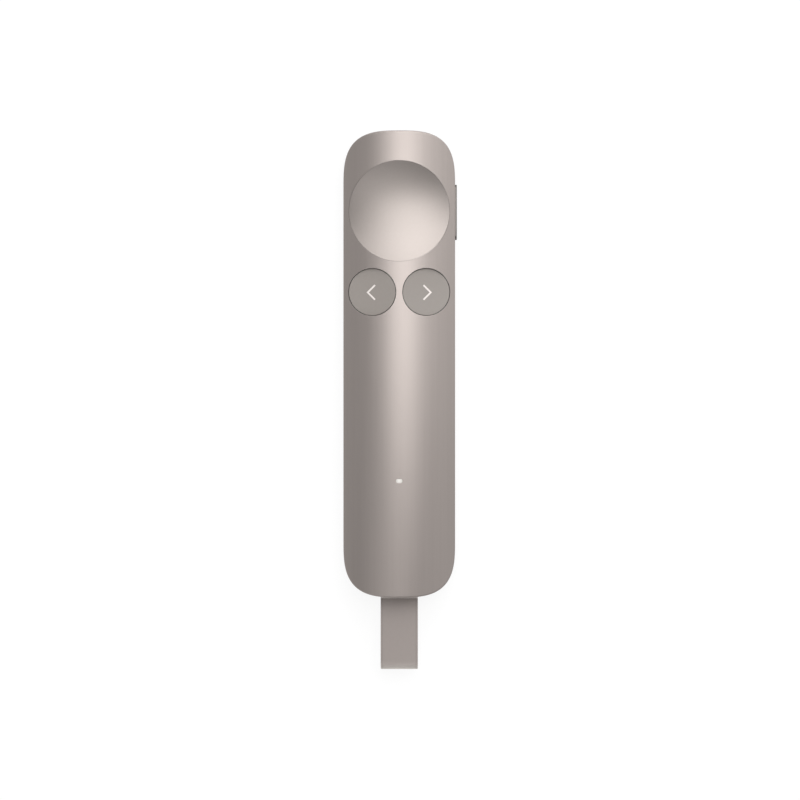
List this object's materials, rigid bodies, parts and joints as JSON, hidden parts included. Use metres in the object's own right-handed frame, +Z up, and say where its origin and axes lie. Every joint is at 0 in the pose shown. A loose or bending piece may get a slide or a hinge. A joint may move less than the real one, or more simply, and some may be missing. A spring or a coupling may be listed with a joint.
{
  "type": "wireless presentation clicker",
  "caption": "Slim crowned hand-held presentation clicker with a round dished thumb pad, round arrow keys, a side key, a status light and a stowed receiver with a pull tab.",
  "frame": {"origin": "middle of the flat land on the back, which the clicker rests on", "axes": "+X to the right, towards the side key; +Y along the body to the front end with the round pad; +Z up out of the crowned face"},
  "size_m": [0.0319, 0.1513, 0.0136],
  "materials": {
    "housing_metal": "satin, anodised warm grey",
    "base_plastic": "fine matte, warm grey",
    "pad_metal": "satin, anodised warm grey",
    "key_face": "matte, warm grey, pale arrow marks",
    "side_key_metal": "satin, darker warm grey",
    "light_pipe": "clear to milky, lit from below",
    "led_ceramic": "gloss",
    "frame_plastic": "moulded, dark grey",
    "board_resin": "green solder resist",
    "plated_steel": "bright plated",
    "chip_black": "black moulding compound",
    "can_steel": "tinned sheet",
    "antenna_ceramic": "fired ceramic",
    "switch_black": "moulded black",
    "stem_ivory": "moulded ivory",
    "cell_foil": "laminated foil",
    "foam_grey": "open foam",
    "laser_brass": "turned",
    "window_dark": "dark tinted, polished",
    "dock_plastic": "moulded, dark grey",
    "receiver_plastic": "fine matte, warm grey",
    "tab_elastomer": "soft satin elastomer, warm grey"
  },
  "bodies": {
    "housing": {"top_shell": "housing_metal", "bottom_shell": "base_plastic", "status_light_pipe": "light_pipe", "status_led": "led_ceramic", "inner_frame": "frame_plastic", "main_board": "board_resin", "board_screws": "plated_steel", "processor": "chip_black", "shield_can": "can_steel", "motion_sensor": "chip_black", "antenna": "antenna_ceramic", "pointer_switch": "switch_black", "previous_switch": "switch_black", "next_switch": "switch_black", "side_switch": "switch_black", "battery": "cell_foil", "battery_pad": "foam_grey", "battery_connector": "stem_ivory", "haptic_motor": "can_steel", "laser_module": "laser_brass", "laser_window": "window_dark", "receiver_dock": "dock_plastic", "charge_port_shell": "plated_steel", "charge_port_tongue": "chip_black"},
    "pointer_pad": {"pointer_pad": "pad_metal", "pointer_stem": "stem_ivory"},
    "previous_key": {"previous_key": "key_face", "previous_stem": "stem_ivory"},
    "next_key": {"next_key": "key_face", "next_stem": "stem_ivory"},
    "side_key": {"side_key": "side_key_metal", "side_stem": "stem_ivory"},
    "receiver": {"receiver_body": "receiver_plastic", "receiver_plug_shell": "plated_steel", "receiver_plug_core": "chip_black", "pull_tab": "tab_elastomer"}
  },
  "joints": [
    {"name": "pointer_pad_press", "type": "slide", "parent": "housing", "child": "pointer_pad", "axis": [0, 0, -1], "range_m": [0, 0.00035], "stiffness_N_per_m": 3000},
    {"name": "previous_key_press", "type": "slide", "parent": "housing", "child": "previous_key", "axis": [0, 0, -1], "range_m": [0, 0.0003], "stiffness_N_per_m": 3500},
    {"name": "next_key_press", "type": "slide", "parent": "housing", "child": "next_key", "axis": [0, 0, -1], "range_m": [0, 0.0003], "stiffness_N_per_m": 3500},
    {"name": "side_key_press", "type": "slide", "parent": "housing", "child": "side_key", "axis": [-1, 0, 0], "range_m": [0, 0.0004], "stiffness_N_per_m": 2500},
    {"name": "receiver_slide", "type": "slide", "parent": "housing", "child": "receiver", "axis": [0, -1, 0], "range_m": [0, 0.025]}
  ]
}
